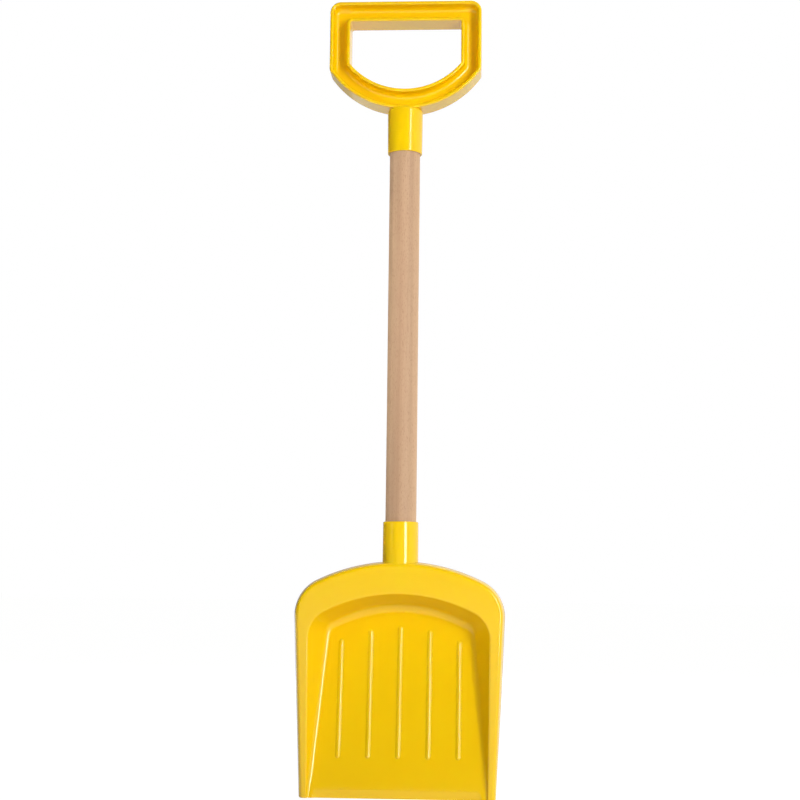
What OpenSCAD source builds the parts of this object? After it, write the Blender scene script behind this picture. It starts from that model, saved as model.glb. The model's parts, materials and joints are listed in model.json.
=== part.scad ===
// Sand shovel: a moulded scoop blade and a moulded D grip on a round wooden stick.
// Millimetres. Upright, blade tip on the ground plane, scoop side towards minus Y.

/* [Stick] */
// diameter of the wooden stick
stick_d = 22; // [20:0.5:24]
// length of stick that shows between the two sockets
stick_show = 267.3; // [180:0.1:400]
// easing turned on the stick ends
stick_ease = 1; // [0.4:0.1:2]
// gap all round between the stick and its sockets
stick_gap = 0.3; // [0.2:0.05:0.5]

/* [Sockets] */
// wall of a socket at its open rim
socket_wall = 1.2; // [1:0.1:2]
// growth of the socket radius from its rim to its root
socket_draft = 0.3; // [0:0.05:0.6]
// rounding on the open rim
socket_rim_r = 0.6; // [0.2:0.1:0.9]
// height of the blade socket rim above the blade's top edge
blade_socket_h = 29; // [24:0.5:40]
// solid left between the pan's top edge and the bore in the blade
blade_plug = 6.2; // [4:0.1:10]
// height of the grip socket from its rim to the grip's lowest edge
grip_socket_h = 32.1; // [28:0.1:44]
// solid left between the bore in the grip and the grip's lowest edge
grip_plug = 3.3; // [2:0.1:6]
// rounding where the grip socket's crown ends at the grip
grip_socket_end_r = 2.5; // [1:0.1:4]

/* [Blade outline] */
// height of the blade from its tip to its top edge
blade_h = 161.4; // [155:0.1:180]
// width of the blade across the shoulders
blade_w = 145; // [136:0.5:156]
// width of the blade at the tip
tip_w = 134.6; // [124:0.2:144]
// radius of the gentle curve along the top edge
crown_r = 131.2; // [120:0.2:160]
// radius of the shoulders
shoulder_r = 26.2; // [18:0.2:34]
// chamfer on the two tip corners
tip_ease = 0.8; // [0.2:0.1:0.8]

/* [Blade rim] */
// wall of the blade
blade_wall = 2.4; // [1.8:0.1:2.8]
// width of the flat rim at the top edge
rim_top = 21.6; // [18:0.1:24]
// width of the flat rim at the shoulders
rim_side = 9.2; // [7.5:0.1:11]
// width of the flat rim at the tip
rim_tip = 4.8; // [4.6:0.1:6]
// distance of the rim's face in front of the socket's root
rim_proud = 0.4; // [0.3:0.05:1]
// rounding of the rim's outer edge
edge_r = 2.6; // [1.4:0.1:2.7]
// rounding of the rim's inner edge into the pan
rim_round = 1.2; // [0.6:0.1:1.6]
// depth of the turned back lip at the shoulders
lip_depth = 8; // [6:0.1:10]
// step of the lip behind the wall at the tip
lip_tip_step = 0.4; // [0.3:0.1:1]
// height over which the lip grows to its full depth
lip_run = 70; // [40:1:90]
// outward flare of the lip at full depth
lip_flare = 1.4; // [0.6:0.1:2]
// wall of the lip
lip_wall = 1.8; // [1.5:0.1:2]
// rounding inside the lip
lip_round = 1; // [0.5:0.1:1.4]

/* [Blade pan] */
// radius of the curve along the pan's top edge
pan_crown_r = 115; // [105:0.5:140]
// radius of the pan's upper corners
pan_shoulder_r = 20; // [18:0.2:26]
// depth of the pan at the tip
pan_tip_depth = 1.4; // [1:0.1:3]
// depth of the floor line under the pan's top edge
pan_depth = 26.6; // [20:0.1:28]
// lean of the pan's side walls out of the square
side_wall_lean = 27; // [20:0.5:30]
// lean of the pan's upper wall out of the square
top_wall_lean = 17; // [12:0.5:25]
// reach of the soft corner between the side walls and the floor
pan_side_fillet = 3.6; // [2:0.1:5]
// reach of the soft corner between the upper wall and the floor
pan_top_fillet = 6.6; // [4:0.1:8]
// growth of the soft corners from the front to the back of the pan
pan_back_growth = 1.2; // [0.6:0.1:2]
// height of the bevel at the tip
bevel_h = 6.2; // [4:0.1:9]
// depth of the bevel at the tip
bevel_cut = 1.2; // [0.6:0.1:1.5]
// distance of the bevel's ends from the pan's walls
bevel_side = 3; // [2:0.1:5]

/* [Blade ribs] */
// number of ribs on the pan floor
rib_count = 5; // [3:2:5]
// distance from rib to rib
rib_pitch = 20.85; // [18:0.05:22]
// radius of a rib
rib_r = 2.2; // [1.6:0.05:2.6]
// height that a rib stands above the floor
rib_stand = 0.75; // [0.5:0.05:0.9]
// height of the ribs' lower ends above the tip
rib_low = 26.7; // [20:0.1:40]
// distance of the middle rib's upper end below the pan's top edge
rib_below = 22.8; // [22:0.2:40]
// radius of the curve along the ribs' upper ends
rib_crown_r = 98; // [90:0.5:130]

/* [Grip outline] */
// height of the grip from its lowest edge to its top
grip_h = 80.8; // [76:0.1:95]
// width of the grip
grip_w = 110.8; // [104:0.2:120]
// width of the grip's bar all round
grip_bar = 14.8; // [13:0.1:17]
// depth of the grip from front to back
grip_depth = 20.6; // [17:0.1:24]
// radius of the grip's lower curve
grip_arc_r = 67.2; // [64:0.2:72]
// radius of the grip's two top corners
grip_corner_r = 7.8; // [6.5:0.1:9]
// radius of the corners of the hand opening
opening_r = 1.5; // [0.8:0.1:4]

/* [Grip walls] */
// wall of the outer ridge
outer_ridge = 2.6; // [2.4:0.1:3]
// wall of the inner ridge
inner_ridge = 2.5; // [2.4:0.1:3]
// rounding on the ridges' crests
crest_r = 1.1; // [0.4:0.1:1.1]
// web in the middle of the bar
grip_web = 2.6; // [2:0.1:3.4]
// soft corner between ridge and web
grip_fillet = 3.6; // [1.2:0.1:3.9]

/* [Retaining screws] */
// diameter of a screw's shank
screw_d = 3.5; // [3:0.1:4]
// length of a screw under its head
screw_len = 14; // [10:0.5:16]
// length of a screw's point
screw_point = 3.5; // [2:0.1:5]
// diameter of a screw's head
screw_head_d = 6.6; // [6:0.1:7.4]
// height of a screw's head
screw_head_h = 1.3; // [1:0.1:2]
// gap all round a screw
screw_gap = 0.3; // [0.2:0.05:0.4]
// width of a slot of the cross recess
recess_w = 0.9; // [0.6:0.1:1.2]
// length of a slot of the cross recess
recess_len = 3.6; // [2.6:0.1:4.4]
// depth of the cross recess
recess_depth = 0.8; // [0.5:0.1:0.9]
// diameter of the boss round a screw
boss_d = 11; // [10:0.2:13]
// distance of a screw's seat from the socket's root radius
seat_step = 0.1; // [0.05:0.05:0.5]

/* [Hidden] */
$fn = 72;

// overrun of a cut past the face that it opens
overrun = 1;

// counts along the blade's right half and round its section
side_steps = 9;
shoulder_steps = 15;
crown_steps = 12;
fillet_steps = 7;
round_steps = 4;

// counts along the grip's right half and round its section
corner_steps = 6;
curve_steps = 20;
quarter_steps = 4;

// part of a wall that a soft corner may take
fillet_room_share = 0.75;
round_room_share = 0.2;
lip_room_share = 0.4;

// sockets
bore_r = stick_d / 2 + stick_gap;
socket_r = bore_r + socket_wall;
root_r = socket_r + socket_draft;
seat_y = root_r + seat_step;
boss_y = seat_y + screw_head_h;

// places along the shaft
blade_rim_z = blade_h + blade_socket_h;
blade_bore_z = blade_h - rim_top + blade_plug;
grip_rim_z = blade_rim_z + stick_show;
grip_low_z = grip_rim_z + grip_socket_h;
grip_bore_z = grip_low_z - grip_plug;
blade_screw_z = blade_h + blade_socket_h / 2;
grip_screw_z = grip_rim_z + grip_socket_h / 2;

// the rim's face lies in front of the shaft, and the shaft is set so that the part is centred
rim_front = root_r + rim_proud;
shaft_y = (rim_front - boss_y) / 2;

// pan floor, a plane that comes forward to the tip
pan_top = blade_h - rim_top;
floor_slope_share = (pan_depth - pan_tip_depth) / pan_top;
top_lean_share = tan(top_wall_lean);
floor_across = blade_wall * sqrt(1 + pow(floor_slope_share, 2));

// outlines: half width at the tip, half width at the shoulders, top, crown radius, shoulder radius
edge_line = [tip_w / 2, blade_w / 2, blade_h, crown_r, shoulder_r];
pan_line = [
    tip_w / 2 - rim_tip,
    blade_w / 2 - rim_side,
    pan_top,
    pan_crown_r,
    pan_shoulder_r
];

function mix(a, b, s) = a + (b - a) * s;
function heading(a) = [cos(a), sin(a)];
function eased(s) = s * s * (3 - 2 * s);
function bend(a, b, c, s) = pow(1 - s, 2) * a + 2 * s * (1 - s) * b + pow(s, 2) * c;
function floor_depth(z) = pan_tip_depth + floor_slope_share * z;
function floor_y(z) = floor_depth(z) - rim_front;

// an outline is a side, a shoulder arc and half of a crown arc
function crown_z(o) = o[2] - o[3];
function shoulder_x(o) = o[1] - o[4];
function shoulder_z(o) = crown_z(o) + sqrt(pow(o[3] - o[4], 2) - pow(shoulder_x(o), 2));
function side_lean(o) = atan2(o[1] - o[0], shoulder_z(o));
function crown_turn(o) = atan2(shoulder_z(o) - crown_z(o), shoulder_x(o));
function shoulder_at(o, a) = [shoulder_x(o), shoulder_z(o)] + o[4] * heading(a);

// direction out of an outline at a station: stretch number and share along it
function out_angle(o, st) =
    st[0] == 0 ? -side_lean(o) * st[1] :
    st[0] == 1 ? mix(-side_lean(o), crown_turn(o), st[1]) :
    mix(crown_turn(o), 90, st[1]);

function out_point(o, st) =
    st[0] == 0 ? mix([o[0], 0], shoulder_at(o, -side_lean(o)), st[1]) :
    st[0] == 1 ? shoulder_at(o, out_angle(o, st)) :
    [0, crown_z(o)] + o[3] * heading(out_angle(o, st));

// share of the way from the side walls over the shoulder to the middle of the upper wall
function rounded_share(st) = st[0] == 0 ? 0 : eased((st[0] - 1 + st[1]) / 2);

// a point of a section: outline place, direction out, distance out, distance behind the rim's face
function placed(p, n, out, behind) = [
    p[0] + out * n[0],
    behind - rim_front,
    p[1] + out * n[1]
];

tip_ease_share = tip_ease / shoulder_z(edge_line);
stations = concat(
    [[0, 0], [0, tip_ease_share]],
    [for (i = [1 : side_steps - 1]) [0, i / side_steps]],
    [for (i = [0 : shoulder_steps - 1]) [1, i / shoulder_steps]],
    [for (i = [0 : crown_steps]) [2, i / crown_steps]]
);
last = len(stations) - 1;

// section of the shell at a station, from the floor's front over rim and lip to the floor's back
function section(st) =
    let (
        ease = st == stations[0] ? tip_ease : 0,
        p = out_point(edge_line, st),
        n = heading(out_angle(edge_line, st)),
        q = out_point(pan_line, st),
        m = heading(out_angle(pan_line, st)),
        lean = mix(side_wall_lean, top_wall_lean, rounded_share(st)),
        fillet = mix(pan_side_fillet, pan_top_fillet, rounded_share(st)),
        lean_share = tan(lean),
        wall_across = blade_wall / cos(lean),
        rise = floor_slope_share * m[1],
        deep = floor_depth(q[1]),
        spread = 1 + lean_share * rise,
        down = [lean_share, 1] * cos(lean),
        along = [1, -rise] / norm([1, rise]),
        foot = [lean_share * deep / spread, deep / spread],
        reach = min(fillet, fillet_room_share * norm(foot)),
        turn = min(rim_round, round_room_share * norm(foot)),
        back_x = (lean_share * (deep + floor_across) - wall_across) / spread,
        back_foot = [back_x, deep + floor_across - rise * back_x],
        back_head = [lean_share * blade_wall - wall_across, blade_wall],
        back_wall = norm(back_foot - back_head),
        back_reach = min(fillet + pan_back_growth, fillet_room_share * back_wall),
        back_turn = min(rim_round, round_room_share * back_wall),
        lip_least = max(blade_wall, edge_r) + lip_tip_step,
        lip_grown = min(1, p[1] / lip_run),
        lip = mix(lip_least, lip_depth, lip_grown),
        flare = lip_flare * lip / lip_depth,
        lip_end = [flare - lip_wall, lip],
        lip_head = [flare * blade_wall / lip - lip_wall, blade_wall],
        lip_way = (lip_end - lip_head) / norm(lip_end - lip_head),
        lip_turn = min(lip_round, lip_room_share * norm(lip_end - lip_head))
    )
    concat(
        [for (i = [0 : fillet_steps])
            let (c = bend(foot + reach * along, foot, foot - reach * down, i / fillet_steps))
            placed(q, m, -c[0], c[1])],
        [for (i = [0 : round_steps])
            let (c = bend(turn * down, [0, 0], [-turn, 0], i / round_steps))
            placed(q, m, -c[0], c[1])],
        [for (i = [0 : round_steps])
            let (a = 90 * i / round_steps)
            placed(p, n, edge_r * (sin(a) - 1) - ease, edge_r * (1 - cos(a)))],
        [placed(p, n, flare - ease, lip)],
        [placed(p, n, lip_end[0], lip_end[1])],
        [for (i = [0 : round_steps])
            let (c = bend(lip_head + lip_turn * lip_way, lip_head, lip_head - [lip_turn, 0], i / round_steps))
            placed(p, n, c[0], c[1])],
        [for (i = [0 : round_steps])
            let (c = bend(back_head - [back_turn, 0], back_head, back_head + back_turn * down, i / round_steps))
            placed(q, m, -c[0], c[1])],
        [for (i = [0 : fillet_steps])
            let (
                c = bend(
                    back_foot - back_reach * down,
                    back_foot,
                    back_foot + back_reach * along,
                    i / fillet_steps
                )
            )
            placed(q, m, -c[0], c[1])]
    );

right_half = [for (st = stations) section(st)];
left_half = [for (k = [last - 1 : -1 : 0]) [for (c = right_half[k]) [-c[0], c[1], c[2]]]];
rows = concat(right_half, left_half);
row_len = len(rows[0]);
end_row = 2 * last;
front_len = row_len / 2;

function at(k, j) = k * row_len + j;

// moulded shell of the scoop: rim, lip, walls and floor as one loft along the outline
module blade_shell() {
    skin = [
        for (k = [0 : end_row - 1])
            for (j = [0 : row_len - 2])
                [at(k, j), at(k + 1, j), at(k + 1, j + 1), at(k, j + 1)]
    ];
    floor_front = [
        for (k = [0 : last - 2])
            [at(k, 0), at(end_row - k, 0), at(end_row - k - 1, 0), at(k + 1, 0)]
    ];
    floor_back = [
        for (k = [0 : last - 2])
            let (j = row_len - 1)
            [at(k, j), at(k + 1, j), at(end_row - k - 1, j), at(end_row - k, j)]
    ];
    floor_ends = [
        [at(last - 1, 0), at(last + 1, 0), at(last, 0)],
        [at(last - 1, row_len - 1), at(last, row_len - 1), at(last + 1, row_len - 1)]
    ];
    tip_right = [
        for (j = [0 : front_len - 2])
            [at(0, j), at(0, j + 1), at(0, row_len - 2 - j), at(0, row_len - 1 - j)]
    ];
    tip_left = [
        for (j = [0 : front_len - 2])
            [
                at(end_row, j + 1),
                at(end_row, j),
                at(end_row, row_len - 1 - j),
                at(end_row, row_len - 2 - j)
            ]
    ];
    tip_middle = [[at(end_row, 0), at(0, 0), at(0, row_len - 1), at(end_row, row_len - 1)]];
    polyhedron(
        points = [for (row = rows) each row],
        faces = concat(
            skin, floor_front, floor_back, floor_ends, tip_right, tip_left, tip_middle
        )
    );
}

// prism along X from points in Y and Z
module prism(points, width) {
    rotate([90, 0, 90])
        linear_extrude(height = width, center = true)
            polygon(points);
}

// solid of a socket, from its root up to a rounded rim
module socket_solid(root_z, rim_z) {
    rim_way = rim_z > root_z ? 1 : -1;
    shelf_z = rim_z - rim_way * socket_rim_r;
    rotate_extrude() {
        polygon([[0, root_z], [root_r, root_z], [socket_r, shelf_z], [0, shelf_z]]);
        polygon([
            [0, shelf_z],
            [socket_r - socket_rim_r, shelf_z],
            [socket_r - socket_rim_r, rim_z],
            [0, rim_z]
        ]);
        intersection() {
            translate([socket_r - socket_rim_r, shelf_z])
                circle(r = socket_rim_r);
            translate([socket_r - socket_rim_r, min(shelf_z, rim_z)])
                square(socket_rim_r);
        }
    }
}

// cylinder that runs backwards from the shaft
module backwards(z, from_y, to_y, r) {
    translate([0, from_y, z])
        rotate([-90, 0, 0])
            cylinder(r = r, h = to_y - from_y);
}

// holes for a retaining screw: seat for the head and a clear way for the shank
module screw_holes(z) {
    backwards(z, seat_y, boss_y + overrun, screw_head_d / 2 + screw_gap);
    backwards(z, 0, boss_y + overrun, screw_d / 2 + screw_gap);
}

// round bar with ball ends, sunk in the floor so far that it stands out as a low rib
module rib_bar(x) {
    high = pan_top - rib_below - rib_crown_r + sqrt(pow(rib_crown_r, 2) - pow(x, 2));
    tilt = atan(floor_slope_share);
    sunk = rib_r - rib_stand;
    end = sqrt(pow(rib_r, 2) - pow(sunk, 2));
    run = (high - rib_low) / cos(tilt) - 2 * end;
    translate([x, floor_y(rib_low) + sunk / cos(tilt), rib_low])
        rotate([-tilt, 0, 0])
            translate([0, 0, end]) {
                cylinder(r = rib_r, h = run);
                sphere(r = rib_r);
                translate([0, 0, run])
                    sphere(r = rib_r);
            }
}

// the ribs end inside the floor's wall, so that nothing of them shows on its back
module ribs() {
    intersection() {
        for (i = [0 : rib_count - 1])
            rib_bar((i - (rib_count - 1) / 2) * rib_pitch);
        prism([
            [floor_y(0) + floor_across / 2, 0],
            [floor_y(pan_top) + floor_across / 2, pan_top],
            [-rim_front, pan_top],
            [-rim_front, 0]
        ], tip_w);
    }
}

module blade() {
    wall_mid_z = pan_top + blade_wall / cos(top_wall_lean) / 2;
    socket_back = root_r + overrun;
    foot_z = wall_mid_z - top_lean_share * (rim_front + socket_back);
    bevel_half = tip_w / 2 - rim_tip - bevel_side;
    color([0.95, 0.78, 0.03])
        translate([0, shaft_y, 0])
            difference() {
                union() {
                    blade_shell();
                    intersection() {
                        socket_solid(foot_z, blade_rim_z);
                        prism([
                            [-rim_front, wall_mid_z],
                            [socket_back, foot_z],
                            [socket_back, blade_rim_z + overrun],
                            [-rim_front, blade_rim_z + overrun]
                        ], 2 * socket_back);
                    }
                    backwards(blade_screw_z, 0, boss_y, boss_d / 2);
                    ribs();
                }
                translate([0, 0, blade_bore_z])
                    cylinder(r = bore_r, h = blade_rim_z - blade_bore_z + overrun);
                screw_holes(blade_screw_z);
                prism([
                    [floor_y(bevel_h), bevel_h],
                    [floor_y(0) + bevel_cut, 0],
                    [floor_y(0) + bevel_cut, -overrun],
                    [floor_y(0) - overrun, -overrun],
                    [floor_y(0) - overrun, bevel_h]
                ], 2 * bevel_half);
            }
}

module stick() {
    r = stick_d / 2;
    color([0.84, 0.69, 0.55])
        translate([0, shaft_y, 0])
            difference() {
                rotate_extrude()
                    polygon([
                        [0, blade_bore_z],
                        [r - stick_ease, blade_bore_z],
                        [r, blade_bore_z + stick_ease],
                        [r, grip_bore_z - stick_ease],
                        [r - stick_ease, grip_bore_z],
                        [0, grip_bore_z]
                    ]);
                for (z = [blade_screw_z, grip_screw_z])
                    backwards(z, seat_y - screw_len - screw_gap, r + overrun, screw_d / 2 + screw_gap);
            }
}

// radius of the grip's top corners at a distance inwards from its outline
function d_corner(in) =
    in < grip_bar / 2 ? max(grip_corner_r - in, opening_r) : opening_r + grip_bar - in;

// point of the D at a distance inwards: stretch 0 is the top corner and 1 the lower curve
function d_point(in, st) =
    let (
        half = grip_w / 2 - in,
        arc_r = grip_arc_r - in,
        c = d_corner(in),
        turn = acos(half / arc_r)
    )
    st[0] == 0
        ? [half - c, grip_h - in - c] + c * heading(mix(90, 0, st[1]))
        : [0, grip_arc_r] + arc_r * heading(mix(-turn, -90, st[1]));

// quarter round in section: centre, radius, start and end angle
function quarter(centre, r, from_angle, to_angle) = [
    for (i = [0 : quarter_steps])
        centre + r * heading(mix(from_angle, to_angle, i / quarter_steps))
];

// front half of the grip's section: distance inwards and distance in front of the middle
crest_y = grip_depth / 2 - crest_r;
foot_y = grip_web / 2 + grip_fillet;
inner_at = grip_bar - inner_ridge;
grip_front = concat(
    quarter([crest_r, crest_y], crest_r, 180, 90),
    quarter([outer_ridge - crest_r, crest_y], crest_r, 90, 0),
    quarter([outer_ridge + grip_fillet, foot_y], grip_fillet, 180, 270),
    quarter([inner_at - grip_fillet, foot_y], grip_fillet, 270, 360),
    quarter([inner_at + crest_r, crest_y], crest_r, 180, 90),
    quarter([grip_bar - crest_r, crest_y], crest_r, 90, 0)
);
grip_back = [for (i = [len(grip_front) - 1 : -1 : 0]) [grip_front[i][0], -grip_front[i][1]]];
grip_section = concat(grip_front, grip_back);

grip_stations = concat(
    [for (i = [0 : corner_steps]) [0, i / corner_steps]],
    [for (i = [0 : curve_steps]) [1, i / curve_steps]]
);

// bar of the grip: one section carried round the D, with a turn where the legs meet the lower curve
module grip_frame() {
    right = [
        for (st = grip_stations)
            [for (c = grip_section) let (p = d_point(c[0], st)) [p[0], -c[1], grip_low_z + p[1]]]
    ];
    left = [
        for (k = [len(right) - 2 : -1 : 0])
            [for (c = right[k]) [-c[0], c[1], c[2]]]
    ];
    loop = concat(right, left);
    round_n = len(loop);
    across_n = len(grip_section);
    polyhedron(
        points = [for (row = loop) each row],
        faces = [
            for (k = [0 : round_n - 1])
                for (j = [0 : across_n - 1])
                    let (
                        k1 = (k + 1) % round_n,
                        j1 = (j + 1) % across_n
                    )
                    [
                        k * across_n + j,
                        k1 * across_n + j,
                        k1 * across_n + j1,
                        k * across_n + j1
                    ]
        ]
    );
}

// crown of the grip's socket, rounded where it runs into the outer ridge
module grip_socket_end() {
    end_z = grip_low_z + outer_ridge / 2;
    rotate_extrude() {
        translate([0, grip_low_z - grip_socket_end_r])
            square([root_r - grip_socket_end_r, end_z - grip_low_z + grip_socket_end_r]);
        translate([0, grip_low_z - grip_socket_end_r])
            square([root_r, end_z - grip_low_z]);
        intersection() {
            translate([root_r - grip_socket_end_r, end_z - grip_socket_end_r])
                circle(r = grip_socket_end_r);
            translate([root_r - grip_socket_end_r, end_z - grip_socket_end_r])
                square(grip_socket_end_r);
        }
    }
}

module grip() {
    color([0.95, 0.78, 0.03])
        translate([0, shaft_y, 0])
            difference() {
                union() {
                    grip_frame();
                    socket_solid(grip_low_z - grip_socket_end_r, grip_rim_z);
                    grip_socket_end();
                    backwards(grip_screw_z, 0, boss_y, boss_d / 2);
                }
                translate([0, 0, grip_rim_z - overrun])
                    cylinder(r = bore_r, h = grip_bore_z - grip_rim_z + overrun);
                screw_holes(grip_screw_z);
            }
}

// screw set from behind, with its head flush in the boss
module retaining_screw(z) {
    point_y = seat_y - screw_len;
    color([0.74, 0.74, 0.72])
        translate([0, shaft_y, 0])
            difference() {
                union() {
                    backwards(z, seat_y, boss_y, screw_head_d / 2);
                    translate([0, 0, z])
                        rotate([-90, 0, 0])
                            rotate_extrude()
                                polygon([
                                    [0, point_y],
                                    [screw_d / 2, point_y + screw_point],
                                    [screw_d / 2, seat_y + screw_head_h / 2],
                                    [0, seat_y + screw_head_h / 2]
                                ]);
                }
                for (a = [0, 90])
                    translate([0, boss_y, z])
                        rotate([0, a, 0])
                            cube([recess_len, 2 * recess_depth, recess_w], center = true);
            }
}

module socket_screws() {
    for (z = [blade_screw_z, grip_screw_z])
        retaining_screw(z);
}

blade();
stick();
grip();
socket_screws();
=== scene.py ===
"""Looks of the sand shovel: moulded yellow blade and grip on a beech stick, in the part's own frame."""
import json
import math

import bmesh
import bpy
import numpy as np
from mathutils import Matrix, Vector

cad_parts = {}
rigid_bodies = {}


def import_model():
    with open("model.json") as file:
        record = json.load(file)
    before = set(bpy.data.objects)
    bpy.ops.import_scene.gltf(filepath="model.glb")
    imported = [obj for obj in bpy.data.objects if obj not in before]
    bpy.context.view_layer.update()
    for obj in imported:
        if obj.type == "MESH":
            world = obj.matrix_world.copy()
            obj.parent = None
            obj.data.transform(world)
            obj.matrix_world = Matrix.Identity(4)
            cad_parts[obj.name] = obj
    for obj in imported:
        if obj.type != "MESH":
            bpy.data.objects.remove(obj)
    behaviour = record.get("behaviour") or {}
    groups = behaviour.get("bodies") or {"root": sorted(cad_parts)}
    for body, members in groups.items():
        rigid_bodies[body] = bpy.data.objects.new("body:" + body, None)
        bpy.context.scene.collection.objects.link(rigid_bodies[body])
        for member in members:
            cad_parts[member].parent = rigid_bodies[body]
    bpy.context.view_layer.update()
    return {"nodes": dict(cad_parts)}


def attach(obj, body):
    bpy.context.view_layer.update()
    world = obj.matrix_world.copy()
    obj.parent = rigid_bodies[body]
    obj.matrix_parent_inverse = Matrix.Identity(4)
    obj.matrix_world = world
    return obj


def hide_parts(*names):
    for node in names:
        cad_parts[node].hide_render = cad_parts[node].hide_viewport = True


for default in list(bpy.data.objects):
    bpy.data.objects.remove(default)
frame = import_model()

MM = 0.001

# The part's own sizes, in millimetres, as its solids have them.
stick_r = 11.0
stick_ease = 1.0
bore_r = 11.3
socket_r = 12.5
root_r = 12.8
socket_rim_r = 0.6
bore_rim_r = 0.25
shaft_y = -0.5
rim_front = 13.2

blade_h = 161.4
rim_top = 21.6
pan_top = blade_h - rim_top
blade_rim_z = 190.4
blade_bore_z = 146.0
grip_rim_z = 457.7
grip_low_z = 489.8
grip_bore_z = 486.5

edge_line = (67.3, 72.5, blade_h, 131.2, 26.2)
pan_line = (62.5, 63.3, pan_top, 115.0, 20.0)
blade_wall = 2.4
edge_r = 2.6
rim_round = 1.2
lip_depth = 8.0
lip_least = 3.0
lip_run = 70.0
lip_flare = 1.4
lip_wall = 1.8
lip_round = 1.0
lip_end_r = 0.35
pan_tip_depth = 1.4
pan_depth = 26.6
side_wall_lean = math.radians(27.0)
top_wall_lean = math.radians(17.0)
pan_side_fillet = 3.6
pan_top_fillet = 6.6
pan_back_growth = 1.2
tip_ease = 0.8
bevel_h = 6.2
bevel_cut = 1.2
bevel_end_share = 0.974
bevel_fade_share = 0.044
floor_slope = (pan_depth - pan_tip_depth) / pan_top
floor_across = blade_wall * math.hypot(1.0, floor_slope)

rib_places = 20.85 * np.arange(-2, 3)
rib_r = 2.2
rib_stand = 0.75
rib_low = 26.7
rib_top = pan_top - 22.8
rib_crown_r = 98.0
rib_foot = 0.15

grip_w = 110.8
grip_h = 80.8
grip_bar = 14.8
grip_depth = 20.6
grip_arc_r = 67.2
grip_corner_r = 7.8
opening_r = 1.5
kink_outer_r = 4.0
kink_inner_r = 1.4
outer_ridge = 2.6
inner_ridge = 2.5
crest_r = 1.1
grip_web = 2.6
grip_fillet = 3.6
grip_socket_end_r = 2.5

boss_r = 5.5
boss_edge_r = 0.4
seat_r = 3.6
seat_y = 12.9
boss_y = 14.2
blade_screw_z = 175.9
grip_screw_z = 473.75

# A flat face keeps its shading flat up to this far from a rounding.
support = 0.3
fillet_steps = 16
round_steps = 8


def mix(a, b, share):
    """Straight blend from a to b."""
    return a + (b - a) * share


def grid_faces(rows, columns, wrap_rows=False, wrap_columns=False):
    """Quads of a grid of points: each joins a point to the next row, then the next column."""
    r, c = np.meshgrid(
        np.arange(rows if wrap_rows else rows - 1),
        np.arange(columns if wrap_columns else columns - 1),
        indexing="ij",
    )
    r1 = (r + 1) % rows
    c1 = (c + 1) % columns
    corners = [r * columns + c, r1 * columns + c, r1 * columns + c1, r * columns + c1]
    return np.stack(corners, -1).reshape(-1, 4)


def grid_shell(points, wrap_rows=False, wrap_columns=False):
    """A shell from points on a grid of rows by columns by three."""
    rows, columns = points.shape[:2]
    return points.reshape(-1, 3), grid_faces(rows, columns, wrap_rows, wrap_columns)


def make_piece(name, shells, material, sharp_angle=38.0):
    """One mesh from several closed shells in millimetres, with seams and poles merged and faces outwards."""
    starts = np.cumsum([0] + [len(points) for points, faces in shells])
    points = np.concatenate([points for points, faces in shells]) * MM
    faces = np.concatenate([faces + start for (p, faces), start in zip(shells, starts)])
    mesh = bpy.data.meshes.new(name)
    mesh.from_pydata(points.tolist(), [], faces.tolist())
    work = bmesh.new()
    work.from_mesh(mesh)
    bmesh.ops.remove_doubles(work, verts=work.verts, dist=2e-6)
    bmesh.ops.dissolve_degenerate(work, edges=work.edges, dist=1e-7)
    bmesh.ops.recalc_face_normals(work, faces=work.faces)
    work.to_mesh(mesh)
    work.free()
    mesh.shade_smooth()
    mesh.set_sharp_from_angle(angle=math.radians(sharp_angle))
    mesh.materials.append(material)
    piece = bpy.data.objects.new(name, mesh)
    bpy.context.scene.collection.objects.link(piece)
    return piece


def turned_shell(radius, height, sides=128):
    """Profile carried round the shaft: radius by row, and height by row or by row and angle."""
    angle = np.linspace(0.0, 2.0 * np.pi, sides, endpoint=False)
    radius = np.asarray(radius, float)[:, None]
    height = np.asarray(height, float)
    height = height if height.ndim == 2 else height[:, None]
    x, y, z = np.broadcast_arrays(
        radius * np.cos(angle), shaft_y + radius * np.sin(angle), height
    )
    return grid_shell(np.stack([x, y, z], -1), wrap_columns=True)


def quarter(centre, r, start, end, steps):
    """Points of an arc in a plane: centre plus radius times the direction at evenly spaced angles."""
    angle = np.radians(np.linspace(start, end, steps + 1))
    return np.array(centre) + r * np.stack([np.cos(angle), np.sin(angle)], -1)


# Blade: stations along the right half of its outline, each a stretch and a share along it.
crown_z = edge_line[2] - edge_line[3]
shoulder_z = crown_z + math.sqrt(
    (edge_line[3] - edge_line[4]) ** 2 - (edge_line[1] - edge_line[4]) ** 2
)
side_z = np.concatenate([
    tip_ease * np.array([0.0, 0.08, 0.2, 0.4, 0.65, 1.0]),
    [2.4, 4.2, bevel_h - support, bevel_h, bevel_h + support],
    np.linspace(9.0, shoulder_z, 34)[:-1],
])
shoulder_steps = 44
crown_steps = 40
station_stretch = np.repeat([0, 1, 2], [len(side_z), shoulder_steps, crown_steps + 1])
station_share = np.concatenate([
    side_z / shoulder_z,
    np.arange(shoulder_steps) / shoulder_steps,
    np.arange(crown_steps + 1) / crown_steps,
])


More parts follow.
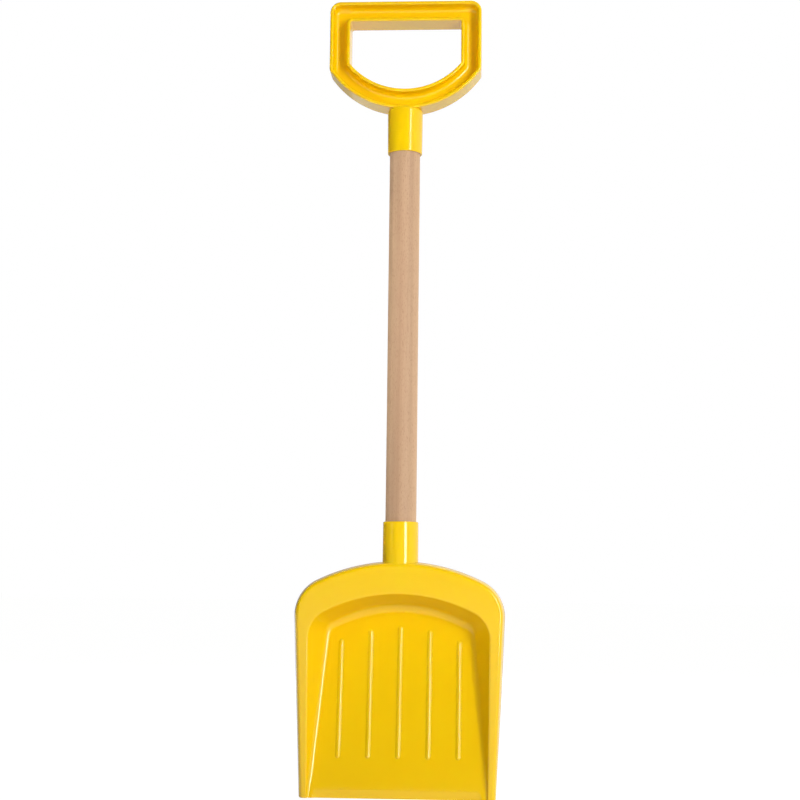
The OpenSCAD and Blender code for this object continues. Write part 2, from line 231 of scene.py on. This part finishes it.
def outline(line):
    """Places and outward directions at the stations: a leaning side, a shoulder arc, half a crown arc."""
    half_tip, half_wide, top, crown, shoulder = line
    low = top - crown
    turn_x = half_wide - shoulder
    turn_z = low + math.sqrt((crown - shoulder) ** 2 - turn_x**2)
    side = math.atan2(half_wide - half_tip, turn_z)
    turn = math.atan2(turn_z - low, turn_x)
    s = station_share
    angle = np.select(
        [station_stretch == 0, station_stretch == 1],
        [-side * s, mix(-side, turn, s)],
        mix(turn, np.pi / 2, s),
    )
    out = np.stack([np.cos(angle), np.sin(angle)], -1)
    meet = np.array([turn_x + shoulder * math.cos(side), turn_z - shoulder * math.sin(side)])
    straight = mix(np.array([half_tip, 0.0]), meet, s[:, None])
    rounded = np.array([turn_x, turn_z]) + shoulder * out
    crowned = np.array([0.0, low]) + crown * out
    pick = station_stretch[:, None]
    return np.select([pick == 0, pick == 1], [straight, rounded], crowned), out


def bend(a, b, c, steps):
    """Soft corner at every station: the quadratic curve from a to c drawn towards the corner b."""
    s = np.linspace(0.0, 1.0, steps + 1)[None, :, None]
    a, b, c = (np.asarray(v, float)[:, None, :] for v in np.broadcast_arrays(a, b, c))
    return (1 - s) ** 2 * a + 2 * s * (1 - s) * b + s**2 * c


def between(a, b, shares):
    """Points on the straight run from a to b at every station."""
    s = np.asarray(shares, float)[None, :, None]
    return mix(a[:, None, :], b[:, None, :], s)


def blade_half():
    """Right half of the scoop: sections over pan wall, rim, lip and back, with soft corners."""
    p, n = outline(edge_line)
    q, m = outline(pan_line)
    count = len(p)
    # share of the way from the side walls over the shoulder to the middle of the upper wall
    s = np.maximum(0.0, (station_stretch - 1 + station_share) / 2)
    rounded = s**2 * (3 - 2 * s)
    wanted = mix(pan_side_fillet, pan_top_fillet, rounded)
    tilt = mix(side_wall_lean, top_wall_lean, rounded)
    lean = np.tan(tilt)
    wall_across = blade_wall / np.cos(tilt)

    def pair(a, b):
        return np.stack(np.broadcast_arrays(a, b), -1) + np.zeros((count, 2))

    rise = floor_slope * m[:, 1]
    deep = pan_tip_depth + floor_slope * q[:, 1]
    spread = 1 + lean * rise
    down = pair(lean, 1.0) * np.cos(tilt)[:, None]
    along = pair(1.0, -rise) / np.hypot(1.0, rise)[:, None]
    foot = pair(lean * deep, deep) / spread[:, None]
    wall = np.linalg.norm(foot, axis=1)
    reach = np.minimum(wanted, 0.75 * wall)[:, None]
    turn = np.minimum(rim_round, 0.2 * wall)[:, None]
    back_x = (lean * (deep + floor_across) - wall_across) / spread
    back_foot = pair(back_x, deep + floor_across - rise * back_x)
    back_head = pair(lean * blade_wall - wall_across, blade_wall)
    back_wall = np.linalg.norm(back_foot - back_head, axis=1)
    back_reach = np.minimum(wanted + pan_back_growth, 0.75 * back_wall)[:, None]
    back_turn = np.minimum(rim_round, 0.2 * back_wall)[:, None]
    across = pair(1.0, 0.0)

    lip = mix(lip_least, lip_depth, np.minimum(1.0, p[:, 1] / lip_run))
    flare = lip_flare * lip / lip_depth
    lip_out = pair(flare, lip)
    lip_in = pair(flare - lip_wall, lip)
    lip_head = pair(flare * blade_wall / lip - lip_wall, blade_wall)
    lip_len = np.linalg.norm(lip_in - lip_head, axis=1)[:, None]
    lip_way = (lip_in - lip_head) / lip_len
    lip_turn = np.minimum(lip_round, 0.4 * lip_len)
    end_r = np.minimum(lip_end_r, 0.3 * lip_len)
    edge_end = pair(0.0, edge_r)
    out_way = (lip_out - edge_end) / np.linalg.norm(lip_out - edge_end, axis=1)[:, None]

    ease = np.where(
        p[:, 1] < tip_ease,
        tip_ease * (1 - np.sqrt(np.clip(1 - (1 - p[:, 1] / tip_ease) ** 2, 0, 1))),
        0.0,
    )[:, None, None] * np.array([1.0, 0.0])
    edge = quarter((-edge_r, edge_r), edge_r, -90, 0, round_steps)
    near = 0.04
    pan_front = np.concatenate([
        bend(foot + reach * along, foot, foot - reach * down, fillet_steps),
        between(foot - reach * down, turn * down, [near, 1 - near]),
        bend(turn * down, 0 * down, -turn * across, round_steps),
        (-(turn + support) * across)[:, None, :],
    ], 1)
    edge_front = np.concatenate([
        (-(edge_r + support) * across)[:, None, :] - ease,
        edge[None] - ease,
        between(edge_end, lip_out, [near]) - ease,
        bend(lip_out - end_r * out_way, lip_out, lip_out - end_r * across, 2) - ease,
    ], 1)
    edge_back = np.concatenate([
        bend(lip_in + end_r * across, lip_in, lip_in - end_r * lip_way, 2) - ease,
        between(lip_head + lip_turn * lip_way, lip_in, [near]) - ease,
        bend(lip_head + lip_turn * lip_way, lip_head, lip_head - lip_turn * across, round_steps),
        (lip_head - (lip_turn + support) * across)[:, None, :],
    ], 1)
    pan_back = np.concatenate([
        (back_head - (back_turn + support) * across)[:, None, :],
        bend(back_head - back_turn * across, back_head, back_head + back_turn * down, round_steps),
        between(back_head + back_turn * down, back_foot - back_reach * down, [near, 1 - near]),
        bend(back_foot - back_reach * down, back_foot, back_foot + back_reach * along, fillet_steps),
    ], 1)

    def placed(place, out, section, way):
        spot = place[:, None, :] + way * section[..., :1] * out[:, None, :]
        return np.stack([spot[..., 0], section[..., 1] - rim_front, spot[..., 1]], -1)

    return np.concatenate([
        placed(q, m, pan_front, -1),
        placed(p, n, edge_front, 1),
        placed(p, n, edge_back, 1),
        placed(q, m, pan_back, -1),
    ], 1)


def blade_shell(right):
    """Scoop as rows up the blade: each a loop of both halves and the floor between, capped at the tip."""
    mirror = np.array([-1.0, 1.0, 1.0])
    left = right[:, ::-1] * mirror

    # floor columns as shares of the half width, close together at the bevel's ends and at the fillet
    half = np.array([0.0, 0.25, 0.5, 0.75, 0.93, 0.962, 0.966, 0.974, 0.978, 0.992])
    columns = np.concatenate([half[::-1], -half[1:]])
    front_edge, back_edge = right[:, :1], right[:, -1:]
    side = columns[None, :, None]
    spread_x = np.array([1.0, 0.0, 0.0])
    flat = np.array([0.0, 1.0, 1.0])
    back_floor = back_edge * flat + side * back_edge * spread_x
    front_floor = front_edge * flat + side * front_edge * spread_x
    in_bevel = np.clip((bevel_end_share - np.abs(columns)) / bevel_fade_share, 0, 1)[None, :]
    sunk = bevel_cut * np.clip(1 - front_floor[..., 2] / bevel_h, 0, 1) * in_bevel
    front_floor[..., 1] += sunk
    loops = np.concatenate([right, back_floor, left, front_floor[:, ::-1]], 1)
    loops[..., 1] += shaft_y
    points, faces = grid_shell(loops, wrap_columns=True)

    # cap at the tip: front and back of the first loop joined in pairs
    width, floor_n = right.shape[1], len(columns)
    start_left = width + floor_n
    front = np.concatenate([
        np.arange(width // 2)[::-1],
        np.arange(loops.shape[1] - 1, start_left + width - 1, -1),
        np.arange(start_left + width - 1, start_left + width // 2 - 1, -1),
    ])
    back = np.concatenate([
        np.arange(width // 2, width),
        np.arange(width, width + floor_n),
        np.arange(start_left, start_left + width // 2),
    ])
    cap = np.stack([front[:-1], front[1:], back[1:], back[:-1]], -1)
    return points, np.concatenate([faces, cap])


def rib_shell(x):
    """Rib as rings round its axis: height is the soft maximum of a low round and the floor."""
    sunk = rib_r - rib_stand
    half = math.sqrt(rib_r**2 - sunk**2)
    high = rib_top - rib_crown_r + math.sqrt(rib_crown_r**2 - x**2) - half
    low = rib_low + half
    distance = np.concatenate([np.linspace(0.0, half, 15), half + np.array([0.1, 0.22, 0.35])])
    rounded = np.sqrt(rib_r**2 - distance**2) - sunk
    height = (rounded + np.sqrt(rounded**2 + rib_foot**2)) / 2 - 0.03
    angle = np.radians(np.concatenate([np.linspace(0, 180, 25), np.linspace(180, 360, 25)]))
    middle = np.repeat([high, low], 25)
    rings = np.concatenate([distance, [distance[-1], 0.0]])
    lift = np.concatenate([height, [-0.4, -0.4]])
    ring_x = x + rings[:, None] * np.cos(angle)
    ring_z = middle + rings[:, None] * np.sin(angle)
    floor = shaft_y - rim_front + pan_tip_depth + floor_slope * ring_z
    tilt = math.atan(floor_slope)
    ring_y = floor - lift[:, None] * math.cos(tilt)
    ring_z = ring_z - lift[:, None] * math.sin(tilt)
    return grid_shell(np.stack([ring_x, ring_y, ring_z], -1), wrap_columns=True)


def rim_rows(rim_z, way):
    """Rounded socket rim: outer rounding, flat and a small inner rounding, as radius and height rows."""
    outer = quarter((socket_r - socket_rim_r, 0.0), socket_rim_r, 0, 90, 6)
    inner = quarter((bore_r + bore_rim_r, 0.0), bore_rim_r, 90, 180, 4)
    radius = np.concatenate([outer[:, 0], inner[:, 0]])
    height = np.concatenate([
        rim_z - way * (socket_rim_r - outer[:, 1]),
        rim_z - way * (bore_rim_r - inner[:, 1]),
    ])
    return radius, height


def blade_socket_shell(sides=128):
    """Drafted tube from a foot along the middle of the pan's upper wall to its rounded rim, with the bore."""
    wall_mid = pan_top + blade_wall / math.cos(top_wall_lean) / 2
    lean = math.tan(top_wall_lean)
    root_z = wall_mid - lean * (rim_front + root_r + 1.0)
    shelf_z = blade_rim_z - socket_rim_r
    angle = np.linspace(0.0, 2.0 * np.pi, sides, endpoint=False)
    foot_z = wall_mid - lean * (rim_front + root_r * np.sin(angle))
    share = np.array([0.0, 0.02, 0.25, 0.5, 0.75, 0.98])[:, None]
    wall_z = mix(foot_z, shelf_z, share)
    rim_radius, rim_height = rim_rows(blade_rim_z, 1)
    wall_r = np.broadcast_to(mix(root_r, socket_r, (wall_z - root_z) / (shelf_z - root_z)), wall_z.shape)
    bore_z = np.array([blade_rim_z - 1.0, blade_bore_z + 0.3, blade_bore_z, blade_bore_z])
    bore = np.array([bore_r, bore_r, bore_r, 0.0])
    end_r = np.concatenate([rim_radius, bore])
    end_z = np.concatenate([rim_height, bore_z])
    foot_mid = np.full((1, sides), wall_mid - lean * rim_front)
    radius = np.concatenate([np.zeros((1, sides)), wall_r, np.repeat(end_r[:, None], sides, 1)])
    height = np.concatenate([foot_mid, wall_z, np.repeat(end_z[:, None], sides, 1)])
    points = np.stack([radius * np.cos(angle), shaft_y + radius * np.sin(angle), height], -1)
    return grid_shell(points, wrap_columns=True)


def grip_socket_shell():
    """Drafted tube from its rounded rim up to a crown that is rounded into the outer ridge, with the bore."""
    crown_z = grip_low_z + outer_ridge / 2
    shelf_z = grip_rim_z + socket_rim_r
    root_z = grip_low_z - grip_socket_end_r
    rim_radius, rim_height = rim_rows(grip_rim_z, -1)
    share = np.array([0.02, 0.25, 0.5, 0.75, 0.98, 1.0])
    crown = quarter((root_r - grip_socket_end_r, crown_z - grip_socket_end_r), grip_socket_end_r, 0, 90, 8)
    radius = np.concatenate([
        [0.0, bore_r, bore_r, bore_r], rim_radius[::-1], mix(socket_r, root_r, share), crown[:, 0], [0.0]
    ])
    height = np.concatenate([
        [grip_bore_z, grip_bore_z, grip_bore_z - 0.3, grip_rim_z + 1.0],
        rim_height[::-1],
        mix(shelf_z, root_z, share),
        crown[:, 1],
        [crown_z],
    ])
    return turned_shell(radius, height)


def boss_shell(z, sides=72):
    """Round boss behind a socket, turned about the screw's axis, with a seat sunk in for the screw head."""
    outer = quarter((boss_r - boss_edge_r, boss_y - boss_edge_r), boss_edge_r, 0, 90, 5)
    inner = quarter((seat_r + bore_rim_r, boss_y - bore_rim_r), bore_rim_r, 90, 180, 4)
    rows = np.concatenate([
        [[0.0, bore_r - 3.0], [boss_r, bore_r - 3.0], [boss_r, boss_y - boss_edge_r - support]],
        outer,
        inner,
        [[seat_r, seat_y + 0.1], [seat_r, seat_y], [0.0, seat_y]],
    ])
    angle = np.linspace(0.0, 2.0 * np.pi, sides, endpoint=False)
    x = rows[:, :1] * np.cos(angle)
    up = rows[:, :1] * np.sin(angle)
    y = np.broadcast_to(shaft_y + rows[:, 1:], x.shape)
    return grid_shell(np.stack([x, y, z + up], -1), wrap_columns=True)


# Grip: stations round the right half of the D, each a stretch and a share along it.
near_ends = np.array([0.02, 0.5, 0.98])
grip_stations = np.array(
    [(0, 0.6), (0, 0.985)]
    + [(1, i / 18) for i in range(19)]
    + [(2, s) for s in near_ends]
    + [(3, i / 12) for i in range(13)]
    + [(4, 0.01)]
    + [(4, i / 56) for i in range(1, 57)]
)


def grip_section():
    """Bar's section as distance inwards and in front: two ridges and a web, with soft corners."""
    top = grip_depth / 2 - crest_r
    foot = grip_web / 2 + grip_fillet
    inner = grip_bar - inner_ridge
    steps = 8
    hold = 0.35
    front = np.concatenate([
        [[0.0, 0.0], [0.0, top - hold]],
        quarter((crest_r, top), crest_r, 180, 90, steps),
        quarter((outer_ridge - crest_r, top), crest_r, 90, 0, steps),
        [[outer_ridge, top - hold], [outer_ridge, foot + hold]],
        quarter((outer_ridge + grip_fillet, foot), grip_fillet, 180, 270, steps),
        [[outer_ridge + grip_fillet + hold, grip_web / 2], [inner - grip_fillet - hold, grip_web / 2]],
        quarter((inner - grip_fillet, foot), grip_fillet, 270, 360, steps),
        [[inner, foot + hold], [inner, top - hold]],
        quarter((inner + crest_r, top), crest_r, 180, 90, steps),
        quarter((grip_bar - crest_r, top), crest_r, 90, 0, steps),
        [[grip_bar, top - hold], [grip_bar, 0.0]],
    ])
    back = front[-2:0:-1] * np.array([1.0, -1.0])
    return np.concatenate([front, back])


def grip_shell():
    """Bar carried round the D: points keep their distance inwards, with round top corners and soft kinks."""
    section = grip_section()
    d = section[:, 0][None, :]
    half = grip_w / 2 - d
    arc = grip_arc_r - d
    outside = d < grip_bar / 2
    corner = np.where(outside, np.maximum(grip_corner_r - d, opening_r), opening_r + grip_bar - d)
    kink = np.where(outside, np.maximum(kink_outer_r - d, kink_inner_r), kink_inner_r + grip_bar - d)
    kink_z = grip_arc_r - np.sqrt((arc - kink) ** 2 - (half - kink) ** 2)
    kink_turn = np.arctan2(kink_z - grip_arc_r, half - kink)
    stretch = grip_stations[:, :1]
    s = grip_stations[:, 1:]
    top_x = (half - corner) * s
    top_z = grip_h - d + 0 * s
    corner_a = mix(np.pi / 2, 0.0, s)
    corner_x = half - corner + corner * np.cos(corner_a)
    corner_z = grip_h - d - corner + corner * np.sin(corner_a)
    leg_x = half + 0 * s
    leg_z = mix(grip_h - d - corner, kink_z, s)
    kink_a = mix(0.0, kink_turn, s)
    turn_x = half - kink + kink * np.cos(kink_a)
    turn_z = kink_z + kink * np.sin(kink_a)
    arc_a = mix(kink_turn, -np.pi / 2, s)
    arc_x = arc * np.cos(arc_a)
    arc_z = grip_arc_r + arc * np.sin(arc_a)
    pick = [stretch == 0, stretch == 1, stretch == 2, stretch == 3]
    x = np.select(pick, [top_x, corner_x, leg_x, turn_x], arc_x)
    z = np.select(pick, [top_z, corner_z, leg_z, turn_z], arc_z)
    y = np.broadcast_to(shaft_y - section[:, 1][None, :], x.shape)
    right = np.stack([x, y, grip_low_z + z], -1)
    left = right[-2::-1] * np.array([-1.0, 1.0, 1.0])
    return grid_shell(np.concatenate([right, left]), wrap_rows=True, wrap_columns=True)


def stick_shell():
    """Turned stick: a cylinder with eased ends, its radius wandering by a few hundredths of a millimetre."""
    sides = 144
    angle = np.linspace(0.0, 2.0 * np.pi, sides, endpoint=False)
    z = np.concatenate([
        [blade_bore_z, blade_bore_z, blade_bore_z + stick_ease],
        np.linspace(blade_bore_z + 1.3, grip_bore_z - 1.3, 120),
        [grip_bore_z - stick_ease, grip_bore_z, grip_bore_z],
    ])
    end_r = stick_r - stick_ease
    r = np.concatenate([[0.0, end_r], np.full(len(z) - 4, stick_r), [end_r, 0.0]])
    turn = angle[None, :]
    way = z[:, None]
    wander = 0.03 * np.sin(2 * turn + way / 61.0) + 0.02 * np.sin(3 * turn - way / 23.0)
    radius = r[:, None] + np.where(r[:, None] > stick_r - 0.5 * stick_ease, wander - 0.05, 0.0)
    points = np.stack(
        [radius * np.cos(turn), shaft_y + radius * np.sin(turn), np.broadcast_to(way, radius.shape)], -1
    )
    return grid_shell(points, wrap_columns=True)


def colour(code):
    """Linear colour of an sRGB hex code, by the standard's two-part curve."""
    value = np.array([int(code[i:i + 2], 16) for i in (1, 3, 5)]) / 255.0
    linear = np.where(value <= 0.04045, value / 12.92, ((value + 0.055) / 1.055) ** 2.4)
    return (*linear.tolist(), 1.0)


def add(tree, kind, settings=None, sockets=None):
    """One node: settings are its own properties, and each socket takes a value or an output to link."""
    made = tree.nodes.new(kind)
    for name, value in (settings or {}).items():
        setattr(made, name, value)
    for name, value in (sockets or {}).items():
        if isinstance(value, bpy.types.NodeSocket):
            tree.links.new(value, made.inputs[name])
        else:
            made.inputs[name].default_value = value
    return made


def new_material(name):
    """An empty node material with its output."""
    material = bpy.data.materials.new(name)
    material.use_nodes = True
    tree = material.node_tree
    tree.nodes.clear()
    return material, tree, add(tree, "ShaderNodeOutputMaterial")


def per_metre(millimetres):
    """Texture scale that gives a pattern a size in millimetres, on coordinates in metres."""
    return 1.0 / (millimetres * MM)


def moulded_polypropylene():
    """Glossy injection-moulded polypropylene, tinted right through: a clear shine over a deep warm yellow."""
    material, tree, out = new_material("moulded_yellow_polypropylene")
    where = add(tree, "ShaderNodeTexCoord").outputs["Object"]
    # flow of the melt: very faint clouds of tint about 45 mm across
    clouds = add(tree, "ShaderNodeTexNoise", None, {
        "Vector": where, "Scale": per_metre(45.0), "Detail": 3.0, "Roughness": 0.5,
    })
    tint = add(tree, "ShaderNodeMix", {"data_type": "RGBA"}, {
        "Factor": clouds.outputs["Fac"], 6: colour("#F0C200"), 7: colour("#F5CA04"),
    })
    # gloss changes a little from place to place, about 20 mm
    patches = add(tree, "ShaderNodeTexNoise", None, {
        "Vector": where, "Scale": per_metre(20.0), "Detail": 4.0, "Roughness": 0.6,
    })
    gloss = add(tree, "ShaderNodeMapRange", None, {
        "Value": patches.outputs["Fac"], "From Min": 0.3, "From Max": 0.7, "To Min": 0.11, "To Max": 0.15,
    })
    # shallow sink waves of the moulding, about 9 mm, and a fine skin, about 0.8 mm
    waves = add(tree, "ShaderNodeTexNoise", None, {
        "Vector": where, "Scale": per_metre(9.0), "Detail": 1.0, "Roughness": 0.4,
    })
    skin = add(tree, "ShaderNodeTexNoise", None, {
        "Vector": where, "Scale": per_metre(0.8), "Detail": 2.0, "Roughness": 0.5,
    })
    relief = add(tree, "ShaderNodeMath", {"operation": "MULTIPLY_ADD"}, {
        0: skin.outputs["Fac"], 1: 0.06, 2: waves.outputs["Fac"],
    })
    bump = add(tree, "ShaderNodeBump", None, {
        "Strength": 0.05, "Distance": 0.0002, "Height": relief.outputs[0],
    })
    shader = add(tree, "ShaderNodeBsdfPrincipled", None, {
        "Base Color": tint.outputs[2],
        "Roughness": gloss.outputs[0],
        "IOR": 1.49,
        "Subsurface Weight": 0.12,
        "Subsurface Radius": (1.0, 0.3, 0.02),
        "Subsurface Scale": 0.002,
        "Normal": bump.outputs[0],
    })
    tree.links.new(shader.outputs[0], out.inputs[0])
    return material


def turned_beech():
    """Sanded, unfinished beech: pale pinkish tan, soft long bands, fine fibres and short dark ray flecks."""
    material, tree, out = new_material("sanded_beech")
    where = add(tree, "ShaderNodeTexCoord").outputs["Object"]
    # growth bands 6 mm wide, drawn out 60 times along the stick
    bands_at = add(tree, "ShaderNodeMapping", None, {"Vector": where, "Scale": (1.0, 1.0, 1.0 / 60.0)})
    bands = add(tree, "ShaderNodeTexNoise", None, {
        "Vector": bands_at.outputs[0], "Scale": per_metre(6.0), "Detail": 3.0,
        "Roughness": 0.55, "Distortion": 0.4,
    })
    # fibres 0.5 mm wide and about 14 mm long
    fibres_at = add(tree, "ShaderNodeMapping", None, {"Vector": where, "Scale": (1.0, 1.0, 0.5 / 14.0)})
    fibres = add(tree, "ShaderNodeTexNoise", None, {
        "Vector": fibres_at.outputs[0], "Scale": per_metre(0.5), "Detail": 2.0, "Roughness": 0.6,
    })
    # ray flecks 0.45 mm wide and about 2.2 mm long
    flecks_at = add(tree, "ShaderNodeMapping", None, {"Vector": where, "Scale": (1.0, 1.0, 0.45 / 2.2)})
    flecks = add(tree, "ShaderNodeTexNoise", None, {
        "Vector": flecks_at.outputs[0], "Scale": per_metre(0.45), "Detail": 1.0, "Roughness": 0.5,
    })
    fleck = add(tree, "ShaderNodeMapRange", None, {
        "Value": flecks.outputs["Fac"], "From Min": 0.58, "From Max": 0.68, "To Min": 0.0, "To Max": 0.45,
    })
    banded = add(tree, "ShaderNodeMix", {"data_type": "RGBA"}, {
        "Factor": bands.outputs["Fac"], 6: colour("#A37B59"), 7: colour("#E3C49E"),
    })
    fibre = add(tree, "ShaderNodeMapRange", None, {
        "Value": fibres.outputs["Fac"], "From Min": 0.35, "From Max": 0.7, "To Min": 0.0, "To Max": 0.5,
    })
    fibred = add(tree, "ShaderNodeMix", {"data_type": "RGBA"}, {
        "Factor": fibre.outputs[0], 6: banded.outputs[2], 7: colour("#C09878"),
    })
    flecked = add(tree, "ShaderNodeMix", {"data_type": "RGBA"}, {
        "Factor": fleck.outputs[0], 6: fibred.outputs[2], 7: colour("#A67A5A"),
    })
    bump = add(tree, "ShaderNodeBump", None, {
        "Strength": 0.25, "Distance": 0.0002, "Height": fibres.outputs["Fac"],
    })
    shader = add(tree, "ShaderNodeBsdfPrincipled", None, {
        "Base Color": flecked.outputs[2],
        "Roughness": 0.62,
        "Diffuse Roughness": 1.0,
        "IOR": 1.5,
        "Normal": bump.outputs[0],
    })
    tree.links.new(shader.outputs[0], out.inputs[0])
    return material


def zinc_plated_steel():
    """Pressed steel screw with a thin zinc plating: pale grey metal, half dull, with faint blotches."""
    material, tree, out = new_material("zinc_plated_steel")
    where = add(tree, "ShaderNodeTexCoord").outputs["Object"]
    # blotches of the plating, about 1.2 mm
    blotches = add(tree, "ShaderNodeTexNoise", None, {
        "Vector": where, "Scale": per_metre(1.2), "Detail": 3.0, "Roughness": 0.6,
    })
    tint = add(tree, "ShaderNodeMix", {"data_type": "RGBA"}, {
        "Factor": blotches.outputs["Fac"], 6: colour("#A9ABA8"), 7: colour("#CFD0CC"),
    })
    dull = add(tree, "ShaderNodeMapRange", None, {
        "Value": blotches.outputs["Fac"], "From Min": 0.3, "From Max": 0.7, "To Min": 0.26, "To Max": 0.4,
    })
    bump = add(tree, "ShaderNodeBump", None, {
        "Strength": 0.2, "Distance": 0.00005, "Height": blotches.outputs["Fac"],
    })
    shader = add(tree, "ShaderNodeBsdfPrincipled", None, {
        "Base Color": tint.outputs[2],
        "Metallic": 1.0,
        "Roughness": dull.outputs[0],
        "Normal": bump.outputs[0],
    })
    tree.links.new(shader.outputs[0], out.inputs[0])
    return material


def white_paper():
    """Floor of matt white paper: camera and reflections see it lifted to white, with a faint shadow."""
    material, tree, out = new_material("matt_white_paper")
    path = add(tree, "ShaderNodeLightPath").outputs
    mirrored = add(tree, "ShaderNodeMath", {"operation": "MAXIMUM"}, {
        0: path["Is Glossy Ray"], 1: path["Is Transmission Ray"],
    })
    seen = add(tree, "ShaderNodeMath", {"operation": "MAXIMUM"}, {
        0: path["Is Camera Ray"], 1: mirrored.outputs[0],
    })
    matt = add(tree, "ShaderNodeBsdfDiffuse", None, {"Color": colour("#C4C4C2")})
    glow = add(tree, "ShaderNodeEmission", None, {"Color": (1.0, 1.0, 1.0, 1.0), "Strength": 1.5})
    lift = add(tree, "ShaderNodeMath", {"operation": "MULTIPLY"}, {0: seen.outputs[0], 1: 0.6})
    both = add(tree, "ShaderNodeMixShader", None, {
        0: lift.outputs[0], 1: matt.outputs[0], 2: glow.outputs[0],
    })
    tree.links.new(both.outputs[0], out.inputs[0])
    return material


yellow = moulded_polypropylene()
beech = turned_beech()
zinc = zinc_plated_steel()

half_blade = blade_half()
blade = make_piece(
    "blade_moulding",
    [blade_shell(half_blade), blade_socket_shell(), boss_shell(blade_screw_z)]
    + [rib_shell(x) for x in rib_places],
    yellow,
)
grip = make_piece("grip_moulding", [grip_shell(), grip_socket_shell(), boss_shell(grip_screw_z)], yellow)
stick = make_piece("beech_stick", [stick_shell()], beech)
for piece, node, slot in (
    (blade, "blade", "yellow_plastic"),
    (grip, "grip", "yellow_plastic"),
    (stick, "stick", "beech"),
):
    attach(piece, "root")
    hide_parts(node)
screws = frame["nodes"]["socket_screws"]
screws.data.materials.clear()
screws.data.materials.append(zinc)

# Floor: a wide sheet just under the tip
floor_half = 30.0
floor_z = -0.0002
floor_mesh = bpy.data.meshes.new("floor")
floor_mesh.from_pydata(
    [(x * floor_half, y * floor_half, floor_z) for x, y in ((-1, -1), (1, -1), (1, 1), (-1, 1))],
    [],
    [(0, 1, 2, 3)],
)
floor_mesh.materials.append(white_paper())
floor = bpy.data.objects.new("floor", floor_mesh)
bpy.context.scene.collection.objects.link(floor)

# World: white for the camera and for reflections of what lies behind, and otherwise a studio that is bright
# behind and to the right, dim in front
world = bpy.data.worlds.new("white_studio")
bpy.context.scene.world = world
world.use_nodes = True
sky = world.node_tree
sky.nodes.clear()
direction = add(sky, "ShaderNodeTexCoord").outputs["Generated"]
toward = add(sky, "ShaderNodeVectorMath", {"operation": "DOT_PRODUCT"}, {0: direction, 1: (0.8, 0.5, 0.33)})
room = add(sky, "ShaderNodeMapRange", {"interpolation_type": "SMOOTHSTEP"}, {
    "Value": toward.outputs["Value"], "From Min": -0.4, "From Max": 0.9, "To Min": 0.08, "To Max": 0.8,
})
path = add(sky, "ShaderNodeLightPath")
mirrored = add(sky, "ShaderNodeMath", {"operation": "MAXIMUM"}, {
    0: path.outputs["Is Glossy Ray"], 1: path.outputs["Is Transmission Ray"],
})
# the white sheet stands behind and to the right, and stops short at the left, where the edges are dark
sheet = add(sky, "ShaderNodeVectorMath", {"operation": "DOT_PRODUCT"}, {0: direction, 1: (0.6, 0.8, 0.0)})
behind = add(sky, "ShaderNodeMapRange", {"interpolation_type": "SMOOTHSTEP"}, {
    "Value": sheet.outputs["Value"], "From Min": 0.55, "From Max": 0.9, "To Min": 0.0, "To Max": 1.0,
})
mirrored_behind = add(sky, "ShaderNodeMath", {"operation": "MULTIPLY"}, {
    0: mirrored.outputs[0], 1: behind.outputs[0],
})
white = add(sky, "ShaderNodeMath", {"operation": "MAXIMUM"}, {
    0: path.outputs["Is Camera Ray"], 1: mirrored_behind.outputs[0],
})
strength = add(sky, "ShaderNodeMix", {"data_type": "FLOAT"}, {
    0: white.outputs[0], 2: room.outputs[0], 3: 1.0,
})
backdrop = add(sky, "ShaderNodeBackground", None, {
    "Color": (1.0, 1.0, 1.0, 1.0), "Strength": strength.outputs[0],
})
add(sky, "ShaderNodeOutputWorld", None, {"Surface": backdrop.outputs[0]})


def soft_lamp(name, place, target, size, watts):
    """Rectangular soft lamp at a place, turned to its target, with its long side upright."""
    lamp = bpy.data.lights.new(name, "AREA")
    lamp.shape = "RECTANGLE"
    lamp.size, lamp.size_y = size
    lamp.energy = watts
    holder = bpy.data.objects.new(name, lamp)
    way = (Vector(target) - Vector(place)).normalized()
    facing = way.to_track_quat("-Z", "Y").to_matrix().to_4x4()
    holder.matrix_world = Matrix.Translation(Vector(place)) @ facing
    bpy.context.scene.collection.objects.link(holder)
    return holder


soft_lamp("key_right", (0.78, -1.09, 0.4), (0.0, 0.0, 0.28), (0.28, 0.72), 11.2)
# narrow strip above the key, for the upright shine on the grip's socket
soft_lamp("strip_right", (0.85, -1.04, 0.92), (0.0, 0.0, 0.47), (0.06, 0.3), 1.8)
left_fill = soft_lamp("left_fill", (-0.95, -0.7, 0.4), (0.0, 0.0, 0.34), (0.3, 0.2), 0.2)
# a grid on this lamp keeps its light on the stick and off the pan's right wall
left_fill.data.spread = math.radians(26.0)
left_fill.visible_glossy = False
front_fill = soft_lamp("front_fill", (-0.2, -1.6, 0.16), (0.0, 0.0, 0.2), (1.2, 0.26), 4.2)
front_fill.visible_glossy = False
back_fill = soft_lamp("back_fill", (0.2, 1.5, 0.8), (0.0, 0.0, 0.28), (0.6, 0.9), 11.0)
back_fill.visible_glossy = False

# Camera: low, a little to the right, aimed slightly up, as the product was photographed
camera_data = bpy.data.cameras.new("camera")
camera = bpy.data.objects.new("camera", camera_data)
bpy.context.scene.collection.objects.link(camera)
bpy.context.scene.camera = camera
camera_data.sensor_width = 36.0
camera_data.lens = 69.9
camera_data.clip_start = 0.01
camera_data.clip_end = 200.0
yaw, pitch, roll = (math.radians(a) for a in (3.5, 7.12, 0.665))
ahead = Vector((-math.sin(yaw) * math.cos(pitch), math.cos(yaw) * math.cos(pitch), math.sin(pitch)))
level = Vector((math.cos(yaw), math.sin(yaw), 0.0))
upright = level.cross(ahead)
across = level * math.cos(roll) + upright * math.sin(roll)
upwards = upright * math.cos(roll) - level * math.sin(roll)
turned = Matrix((across, upwards, -ahead)).transposed().to_4x4()
camera.matrix_world = Matrix.Translation(Vector((0.0657, -1.1008, 0.1398))) @ turned

bpy.context.scene.view_settings.view_transform = "Standard"
